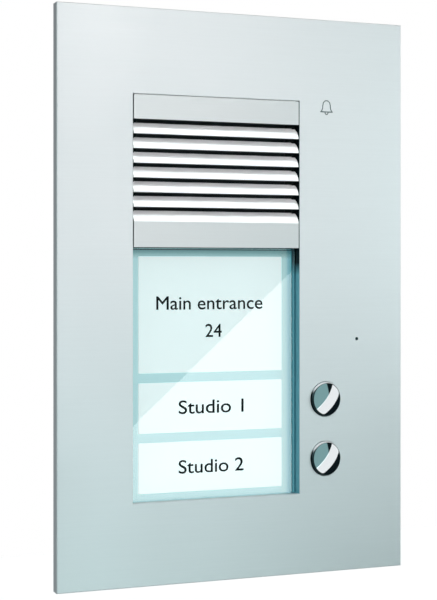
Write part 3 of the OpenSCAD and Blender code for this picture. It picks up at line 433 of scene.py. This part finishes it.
MATERIALS = {
    "plate_aluminium": plate_finish,
    "grille_aluminium": grille_finish,
    "zinc_steel": zinc_steel,
    "black_fleece": lambda: woven("black_fleece", (0.012, 0.02, 0.02), 0.8),
    "foam": lambda: fibrous("foam", (0.04, 0.04, 0.043), 0.15),
    "speaker_metal": lambda: moulded("speaker_metal", (0.05, 0.052, 0.056), 0.42, grain=0.01),
    "soft_rubber": lambda: rubber("soft_rubber", (0.018, 0.019, 0.02)),
    "paper_cone": lambda: fibrous("paper_cone", (0.035, 0.035, 0.036), 0.08),
    "magnet_ferrite": ferrite,
    "clear_acrylic": acrylic,
    "label_film": label_film,
    "light_guide_acrylic": light_guide,
    "tray_plastic": label_tray,
    "board_white": lambda: circuit_board("board_white", (0.8, 0.8, 0.78), (0.7, 0.7, 0.66)),
    "led_lens": lambda: moulded("led_lens", (0.85, 0.75, 0.3), 0.25, grain=0.005),
    "button_chrome": chrome,
    "spring_steel": lambda: zinc_steel("spring_steel"),
    "switch_plunger": lambda: moulded("switch_plunger", (0.45, 0.03, 0.02), 0.35, grain=0.005),
    "housing_plastic": lambda: moulded("housing_plastic", (0.035, 0.042, 0.045), 0.5, grain=0.04, scale=1.8),
    "switch_black": lambda: moulded("switch_black", (0.02, 0.02, 0.02), 0.45),
    "board_green": lambda: circuit_board("board_green", (0.01, 0.12, 0.05), (0.02, 0.2, 0.08)),
    "felt": lambda: fibrous("felt", (0.02, 0.03, 0.03), 0.1),
    "microphone_metal": zinc_steel,
    "chip_black": lambda: moulded("chip_black", (0.015, 0.015, 0.016), 0.55, grain=0.01),
    "relay_blue": lambda: moulded("relay_blue", (0.015, 0.06, 0.3), 0.35, grain=0.008),
    "capacitor_sleeve": lambda: moulded("capacitor_sleeve", (0.01, 0.012, 0.06), 0.25, grain=0.004),
    "connector_ivory": lambda: moulded("connector_ivory", (0.75, 0.7, 0.55), 0.4, grain=0.006),
    "trimmer_blue": lambda: moulded("trimmer_blue", (0.02, 0.14, 0.42), 0.4, grain=0.006),
    "rotor_white": lambda: moulded("rotor_white", (0.8, 0.8, 0.76), 0.4, grain=0.006),
    "terminal_green": lambda: moulded("terminal_green", (0.03, 0.32, 0.07), 0.45, grain=0.012),
    "lead_red": lambda: rubber("lead_red", (0.42, 0.01, 0.01)),
    "lead_orange": lambda: rubber("lead_orange", (0.65, 0.14, 0.01)),
    "lead_yellow": lambda: rubber("lead_yellow", (0.7, 0.5, 0.04)),
    "frame_steel": sheet_steel,
}
made = {slot: build().material for slot, build in MATERIALS.items()}

for part in record["subparts"]:
    piece = nodes[part["node"]]
    piece.data.materials.clear()
    piece.data.materials.append(made[part["material_slot"]])


def ink():
    s = Surface("ink", (0.004, 0.012, 0.013), 0.6)
    s.vary_color(s.noise(2.0), (0.003, 0.009, 0.01), (0.006, 0.015, 0.016))
    return s.material


# ---- printed details ----


def finish_piece(piece, body, material):
    piece.data.materials.clear()
    piece.data.materials.append(material)
    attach(piece, body)
    return piece


STROKE_GROWTH = 0.008


def printed(name, text, x, z, cap_height, width):
    """Flat lettering on the front of the pane, centred on x with its foot at z (metres)."""
    curve = bpy.data.curves.new(name, "FONT")
    curve.body = text
    curve.align_x = "CENTER"
    curve.size = 1.0
    curve.bevel_depth = STROKE_GROWTH
    curve.bevel_resolution = 0
    source = bpy.data.objects.new(name + "_curve", curve)
    bpy.context.scene.collection.objects.link(source)
    bpy.context.view_layer.update()
    mesh = bpy.data.meshes.new_from_object(source.evaluated_get(bpy.context.evaluated_depsgraph_get()))
    bpy.data.objects.remove(source)
    mesh.name = name
    spots = [v.co for v in mesh.vertices]
    lo = Vector(min(c[i] for c in spots) for i in range(3))
    hi = Vector(max(c[i] for c in spots) for i in range(3))
    tall = cap_height / (hi.y - max(lo.y, 0.0))
    wide = width / (hi.x - lo.x)
    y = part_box("label_window")[0].y - 0.02 * MM
    middle = (lo.x + hi.x) / 2
    for v in mesh.vertices:
        v.co = (x + (v.co.x - middle) * wide, y, z + v.co.y * tall)
    piece = bpy.data.objects.new(name, mesh)
    bpy.context.scene.collection.objects.link(piece)
    piece.visible_shadow = piece.visible_diffuse = piece.visible_transmission = False
    return finish_piece(piece, "window", made_ink)


def button_spring(index):
    """Finely swept coil in place of the CAD one."""
    lo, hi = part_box(f"button_{index}_spring")
    wire = 0.6 * MM
    turns, rings, sides = 4.5, 40, 12
    radius = (hi.x - lo.x - wire) / 2
    x, z = (lo.x + hi.x) / 2, (lo.z + hi.z) / 2
    start, end = lo.y + wire / 2, hi.y - wire / 2
    points, faces = [], []
    last = int(turns * rings)
    for i in range(last + 1):
        angle = 2 * math.pi * i / rings
        out = Vector((math.cos(angle), 0, math.sin(angle)))
        middle = Vector((x, start + (end - start) * i / last, z)) + out * radius
        for k in range(sides):
            a = 2 * math.pi * k / sides
            points.append(middle + (out * math.cos(a) + Vector((0, math.sin(a), 0))) * wire / 2)
    for i in range(last):
        for k in range(sides):
            a, b = i * sides + k, i * sides + (k + 1) % sides
            faces.append((a, b, b + sides, a + sides))
    faces.append(tuple(range(sides)))
    faces.append(tuple(last * sides + k for k in reversed(range(sides))))
    mesh = bpy.data.meshes.new(f"spring_{index}")
    mesh.from_pydata(points, [], faces)
    for polygon in mesh.polygons:
        polygon.use_smooth = len(polygon.vertices) == 4
    piece = bpy.data.objects.new(f"spring_{index}", mesh)
    bpy.context.scene.collection.objects.link(piece)
    finish_piece(piece, "panel", made["spring_steel"])
    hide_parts(f"button_{index}_spring")
    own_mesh(piece)


def button_cap(index):
    """Finely turned cap in place of the CAD one, so that its domed face mirrors without facets."""
    lo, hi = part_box(f"button_{index}_cap")
    x, z = (lo.x + hi.x) / 2, (lo.z + hi.z) / 2
    shape = CAP_SHAPE
    edge_x, edge_y = shape["radius"] - shape["edge"], lo.y / MM + shape["dome"]
    edge_y -= math.sqrt((shape["dome"] - shape["edge"]) ** 2 - edge_x ** 2)
    touch = math.asin(edge_x / (shape["dome"] - shape["edge"]))
    flange = (hi.x - lo.x) / 2 / MM
    outline = []
    for i in range(1, 25):
        angle = touch * i / 24
        outline.append((shape["dome"] * math.sin(angle), lo.y / MM + shape["dome"] * (1 - math.cos(angle))))
    for i in range(1, 13):
        angle = touch + (math.pi / 2 - touch) * i / 12
        outline.append((edge_x + shape["edge"] * math.sin(angle), edge_y - shape["edge"] * math.cos(angle)))
    smooth_rings = len(outline)
    front, back = shape["flange_y"]
    outline += [(shape["radius"], front), (flange, front), (flange, back), (shape["stem"], back), (shape["stem"], hi.y / MM)]
    sides = 128
    points = [(x, lo.y, z)]
    for radius, y in outline:
        points += [(x + radius * MM * math.cos(2 * math.pi * k / sides), y * MM,
                    z + radius * MM * math.sin(2 * math.pi * k / sides)) for k in range(sides)]
    points.append((x, hi.y, z))
    faces = [(0, 1 + k, 1 + (k + 1) % sides) for k in range(sides)]
    for ring in range(len(outline) - 1):
        a, b = 1 + ring * sides, 1 + (ring + 1) * sides
        faces += [(a + k, b + k, b + (k + 1) % sides, a + (k + 1) % sides) for k in range(sides)]
    last = 1 + (len(outline) - 1) * sides
    faces += [(last + k, len(points) - 1, last + (k + 1) % sides) for k in range(sides)]
    mesh = bpy.data.meshes.new(f"cap_{index}")
    mesh.from_pydata(points, [], faces)
    for number, polygon in enumerate(mesh.polygons):
        polygon.use_smooth = number < sides * (smooth_rings + 1)
    piece = bpy.data.objects.new(f"cap_{index}", mesh)
    bpy.context.scene.collection.objects.link(piece)
    finish_piece(piece, f"button_{index}", made["button_chrome"])
    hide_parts(f"button_{index}_cap")
    return piece


# Millimetres, as in the CAD cap
CAP_SHAPE = {"radius": 6.9, "edge": 0.75, "dome": 25.0, "flange_y": (-2.9, -1.9), "stem": 2.5}
for index in (1, 2):
    button_spring(index)
smooth_caps = [button_cap(index) for index in (1, 2)]

made_ink = ink()
info_lo, info_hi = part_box("info_label")
label_x = (info_lo.x + info_hi.x) / 2 - 1.35 * MM
printed("info_text", "Main entrance", label_x - 0.6 * MM, info_hi.z - 20.9 * MM, 5.2 * MM, 49 * MM)
printed("info_number", "24", label_x + 1 * MM, info_hi.z - 31.9 * MM, 5.2 * MM, 7.6 * MM)
for index, text in ((1, "Studio 1"), (2, "Studio 2")):
    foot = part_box(f"name_label_{index}")[0].z
    printed(f"name_text_{index}", text, label_x, foot + 7.4 * MM, 5.3 * MM, 30 * MM)


def flat_shape(name, outlines, body, material):
    """Flat faces through (x, y, z) outlines in metres."""
    mesh = bpy.data.meshes.new(name)
    points, faces = [], []
    for outline in outlines:
        faces.append(tuple(range(len(points), len(points) + len(outline))))
        points += outline
    mesh.from_pydata(points, [], faces)
    piece = bpy.data.objects.new(name, mesh)
    bpy.context.scene.collection.objects.link(piece)
    return finish_piece(piece, body, material)


def stroke(path, width, y):
    """Quads along a path of (x, z) points."""
    quads = []
    for (x0, z0), (x1, z1) in zip(path, path[1:]):
        along = Vector((x1 - x0, z1 - z0)).normalized()
        side = Vector((-along.y, along.x)) * width / 2
        grow = along * width / 4
        quads.append([(x0 - grow.x + side.x, y, z0 - grow.y + side.y), (x1 + grow.x + side.x, y, z1 + grow.y + side.y),
                      (x1 + grow.x - side.x, y, z1 + grow.y - side.y), (x0 - grow.x - side.x, y, z0 - grow.y - side.y)])
    return quads


def bell_mark():
    """Small generic bell outline at the top right of the plate."""
    x0, z0, size = 42.8 * MM, 77.0 * MM, 6.2 * MM
    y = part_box("front_plate")[0].y - 0.01 * MM
    half = [(0.0, 0.42), (0.12, 0.4), (0.24, 0.3), (0.29, 0.12), (0.31, -0.1), (0.38, -0.24), (0.46, -0.32)]
    dome = [(-px, pz) for px, pz in reversed(half)] + half
    rim = [(-0.46, -0.32), (0.46, -0.32)]
    clapper = [(0.12 * math.cos(a), -0.36 + 0.12 * math.sin(a)) for a in [math.radians(180 + 20 * k) for k in range(10)]]
    quads = []
    for path in (dome, rim, clapper):
        quads += stroke([(x0 + px * size, z0 + pz * size) for px, pz in path], 0.4 * MM, y)
    flat_shape("bell_mark", quads, "panel", made_grey)


def grey_print():
    s = Surface("grey_print", (0.12, 0.17, 0.18), 0.6)
    s.vary_color(s.noise(2.0), (0.1, 0.15, 0.16), (0.14, 0.19, 0.2))
    return s.material


made_grey = grey_print()
bell_mark()


# ---- camera ----


def photo_camera():
    """Level camera, left of the panel, at the reference view's angle."""
    plate_lo, plate_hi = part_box("front_plate")
    data = bpy.data.cameras.new("camera")
    data.lens = 132.53
    data.sensor_width = 36
    data.shift_y = -29 / 600
    data.clip_start = 0.05
    data.clip_end = 50
    camera = bpy.data.objects.new("camera", data)
    bpy.context.scene.collection.objects.link(camera)
    camera.location = (-0.45757, plate_lo.y - 0.75082, 0.01014)
    camera.rotation_euler = (math.radians(90), 0, math.radians(-30.881))
    bpy.context.scene.camera = camera
    return camera


camera = photo_camera()


# ---- studio ----


# The wall ends on the line rise = rise_0 + slope * (around - around_0), in degrees
STRIP_FAR = (33.1, 0.3, 1.09)
FLAG_FROM = 35.5
STUDIO_SIDE = (-40.0, 38.0, -15.0, 78.0)
WALL = (0.2, 0.35, 0.36)
BLACK = (0.004, 0.008, 0.01)
# Softboxes a metre away for the brushed metal: around and rise in degrees, and color
PLATE_LIGHTS = {
    "metal_middle": (22, 4, (1.685, 1.38, 1.409)),
    "metal_right": (56, 4, (3.994, 4.538, 4.588)),
    "metal_lower": (22, -13, (1.108, 1.421, 1.439)),
    "metal_low": (22, -30, (0.95, 1.218, 1.145)),
    "metal_high": (22, 21, (2.836, 2.557, 2.54)),
}


REAR_NODES = (
    "electronics_housing", "rear_cover", "rear_cover_screws", "housing_screws", "mounting_frame", "hanging_hooks",
    "wall_seal", "fixing_screws", "terminal_plug", "terminal_header", "terminal_clamp_screws", "main_board", "relay",
    "capacitors", "processor_chip", "speaker_magnet", "speaker_frame", "button_housing", "button_board",
    "speaker_lead", "microphone_lead", "button_lead", "label_tray", "lead_grommet",
    "trimmer_bodies", "volume_trimmer_rotor", "microphone_trimmer_rotor",
)


def side_of_line(g, around, rise, line):
    """0 below the line and 1 above it, with an edge a degree wide."""
    around_0, rise_0, slope = line
    edge = g.math("SUBTRACT", rise, g.math("MULTIPLY", g.math("SUBTRACT", around, around_0), slope))
    return g.rescale(edge, rise_0 - 0.5, rise_0 + 0.5)


def studio_world():
    """Soft studio surroundings as one function of direction."""
    world = bpy.data.worlds.new("studio")
    bpy.context.scene.world = world
    world.use_nodes = True
    g = Graph(world.node_tree)
    world.node_tree.nodes.clear()
    direction = g.add("ShaderNodeTexCoord").outputs["Generated"]
    x, y, z = g.split(direction)
    forward = g.math("MULTIPLY", y, -1.0)
    turn = g.rescale(g.math("ARCTAN2", z, forward), -math.pi, math.pi, -180, 180)
    base = g.ramp(g.rescale(turn, -180, 180), [
        (0.0, (0.5, 0.52, 0.53)), (0.25, (0.3, 0.34, 0.35)), (0.45, (0.22, 0.32, 0.34)), (0.54, (0.3, 0.4, 0.42)),
        (0.58, (1.25, 1.3, 1.3)), (0.68, (1.25, 1.3, 1.3)), (0.69, (0.6, 0.585, 0.585)),
        (0.8, (0.5, 0.5, 0.5)), (1.0, (0.5, 0.52, 0.53)),
    ])
    # Dark corner of the room behind and to the left
    back_left = g.math("MULTIPLY", g.rescale(x, -0.1, -0.3, smooth=True), g.rescale(y, 0.4, 0.7, smooth=True))
    corner = g.mix(g.rescale(z, 0.02, 0.12), (0.12, 0.16, 0.17), (0.035, 0.05, 0.055))
    base = g.mix(back_left, base, corner)
    # Grey-green wall and black flags on the right; angles in degrees
    around = g.rescale(g.math("ARCTAN2", x, forward), -math.pi, math.pi, -180, 180)
    rise = g.rescale(g.math("ARCSINE", z), -math.pi / 2, math.pi / 2, -90, 90)
    beyond = g.math("SUBTRACT", 1.0, side_of_line(g, around, rise, STRIP_FAR))
    flag = g.rescale(around, FLAG_FROM - 0.5, FLAG_FROM + 0.5)
    right = g.mix(g.math("MAXIMUM", beyond, flag), WALL, BLACK)
    low, high, left_end, right_end = STUDIO_SIDE
    inside = g.math("MULTIPLY", g.rescale(rise, low - 5, low + 5), g.rescale(rise, high + 5, high - 5))
    inside = g.math("MULTIPLY", inside, g.rescale(around, left_end - 8, left_end + 8))
    inside = g.math("MULTIPLY", inside, g.rescale(around, right_end + 8, right_end - 8))
    color = g.mix(inside, base, right)
    background = g.add("ShaderNodeBackground", {"Color": color, "Strength": 1.0})
    out = g.add("ShaderNodeOutputWorld")
    g.tree.links.new(background.outputs[0], out.inputs[0])


def only_for(thing, camera=False, glossy=False, diffuse=False, transmission=False, shadow=False):
    thing.visible_camera = camera
    thing.visible_glossy = glossy
    thing.visible_diffuse = diffuse
    thing.visible_transmission = transmission
    thing.visible_shadow = shadow


def grid_object(name, rows, material):
    """A surface through rows of points."""
    count = len(rows[0])
    points = [p for row in rows for p in row]
    faces = [(r * count + c, r * count + c + 1, (r + 1) * count + c + 1, (r + 1) * count + c)
             for r in range(len(rows) - 1) for c in range(count - 1)]
    mesh = bpy.data.meshes.new(name)
    mesh.from_pydata(points, [], faces)
    mesh.materials.append(material)
    for polygon in mesh.polygons:
        polygon.use_smooth = True
    made_object = bpy.data.objects.new(name, mesh)
    bpy.context.scene.collection.objects.link(made_object)
    return made_object


def glowing(name, color, strength):
    s = Surface(name, (0, 0, 0), 1.0, Emission_Color=color, Emission_Strength=strength)
    s.set("Specular IOR Level", 0.0)
    return s.material


def backdrop():
    """White surround that only the camera sees."""
    radius = 9.0
    rows = []
    for ring in range(0, 19):
        lift = math.radians(-90 + 10 * ring)
        rows.append([(radius * math.cos(lift) * math.cos(a), radius * math.cos(lift) * math.sin(a), radius * math.sin(lift))
                     for a in [math.radians(10 * s) for s in range(37)]])
    shell = grid_object("backdrop", rows, glowing("backdrop_white", (1, 1, 1), 1.0))
    only_for(shell, camera=True, transmission=True)


def floor():
    level = cad_box[0].z - 0.2
    size = 1.5
    s = Surface("floor_pale", (0.86, 0.87, 0.87), 0.8, Emission_Color=(1, 1, 1), Emission_Strength=0.5)
    s.vary_color(s.noise(0.004), (0.84, 0.85, 0.85), (0.88, 0.89, 0.89))
    steps = [size * (i / 6 - 1) for i in range(13)]
    plane = grid_object("floor", [[(px, py, level) for px in steps] for py in steps], s.material)
    only_for(plane, camera=True, transmission=True)


def area_light(name, place, aim, width, height, power, color=(1, 1, 1), roll=0.0, only=()):
    """Softbox at place that looks at aim, seen by the pieces in only, or by all."""
    data = bpy.data.lights.new(name, "AREA")
    data.shape = "RECTANGLE"
    data.size, data.size_y = width, height
    data.energy = power
    data.color = color
    light = bpy.data.objects.new(name, data)
    bpy.context.scene.collection.objects.link(light)
    direction = Vector(aim) - Vector(place)
    turn = direction.to_track_quat("-Z", "Y").to_matrix().to_4x4() @ Matrix.Rotation(roll, 4, "Z")
    light.matrix_world = Matrix.Translation(place) @ turn
    light.visible_camera = False
    if only:
        group = bpy.data.collections.new(name + "_receivers")
        for piece in only:
            group.objects.link(piece)
        light.light_linking.receiver_collection = group
    return light


def aimed_light(name, target, middle, along, size, radiance, color, only, shadows=True):
    """Softbox at the point middle, with its long side along the given direction, facing target."""
    out = (Vector(middle) - Vector(target)).normalized()
    side = (Vector(along) - out * out.dot(Vector(along))).normalized()
    light = area_light(name, middle, target, *size, radiance_power(radiance, *size), color, only=only)
    axes = Matrix((side, out.cross(side), out)).transposed().to_4x4()
    light.matrix_world = Matrix.Translation(middle) @ axes
    light.data.use_shadow = shadows
    return light


def strip_light(name, target, edge, lean, radiance, color, only):
    """Long slanting strip whose upper left edge passes through the direction edge, (around, rise) in degrees."""
    wide, half_length, away = 20.0, 34.0, 1.6
    slope = math.radians(lean)
    around = math.radians(edge[0] + wide / 2 * math.sin(slope))
    rise = math.radians(edge[1] - wide / 2 * math.cos(slope))
    out = Vector((math.sin(around) * math.cos(rise), -math.cos(around) * math.cos(rise), math.sin(rise)))
    east = Vector((math.cos(around), math.sin(around), 0))
    along = east * math.cos(slope) + out.cross(east) * math.sin(slope)
    size = (2 * away * math.tan(math.radians(half_length)), 2 * away * math.tan(math.radians(wide / 2)))
    return aimed_light(name, target, Vector(target) + out * away, along, size, radiance, color, only)


def louvre_light(name, target, lean, radiance, color, only):
    """Softbox over the grille, level with its blades, that spans 54 degrees about the given lean from the front."""
    away, half = 0.7, 27.0
    turn = math.radians(lean)
    out = Vector((0, -math.cos(turn), math.sin(turn)))
    middle = Vector(target) + out * away + Vector((0.6 * away, 0, 0))
    size = (0.9, 2 * away * math.tan(math.radians(half)))
    light = aimed_light(name, middle - out, middle, (1, 0, 0), size, radiance, color, only, shadows=False)
    light.data.cycles.use_multiple_importance_sampling = False
    return light


def radiance_power(radiance, width, height):
    """Watts of an area light that looks as bright as the given radiance."""
    return radiance * math.pi * width * height


studio_world()
backdrop()
floor()
metal_front = [nodes[n] for n in ("front_plate", "speaker_grille")]
window = [nodes["label_window"]]
for name, (around, rise, color) in PLATE_LIGHTS.items():
    around, rise = math.radians(around), math.radians(rise)
    place = (math.sin(around) * math.cos(rise), -math.cos(around) * math.cos(rise), math.sin(rise))
    area_light(name, place, (0, 0, 0), 0.28, 0.28, radiance_power(1.0, 0.28, 0.28), color, only=metal_front)
window_lo, window_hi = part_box("label_window")
window_middle = ((window_lo.x + window_hi.x) / 2, window_lo.y, (window_lo.z + window_hi.z) / 2)
glare = strip_light("window_glare", window_middle, (30.2, -2.2), 45, 4.4, (1.0, 0.95, 0.93), window)
glare.visible_transmission = False
cap_lo, cap_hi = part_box("button_1_cap")
cap_middle = ((cap_lo.x + cap_hi.x) / 2, cap_lo.y, (cap_lo.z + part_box("button_2_cap")[1].z) / 2)
strip_light("cap_stripe", cap_middle, (32.0, 0.3), 47.5, 0.85, (1.0, 1.02, 1.03), smooth_caps)
grille_lo, grille_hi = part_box("speaker_grille")
grille_middle = ((grille_lo.x + grille_hi.x) / 2, grille_lo.y, (grille_lo.z + grille_hi.z) / 2)
louvre_light("blade_white", grille_middle, 52, 0.87, (0.98, 1.0, 1.0), [nodes["speaker_grille"]])
louvre_light("blade_grey", grille_middle, 107, 0.5, (1.0, 0.95, 0.99), [nodes["speaker_grille"]])

rear_pieces = [nodes[n] for n in REAR_NODES]
area_light("rear_fill", (0.5, 1.0, 0.45), (0, 0, 0), 0.8, 0.8, 14.0, only=rear_pieces)

scene = bpy.context.scene
scene.view_settings.view_transform = "Standard"
scene.view_settings.look = "None"
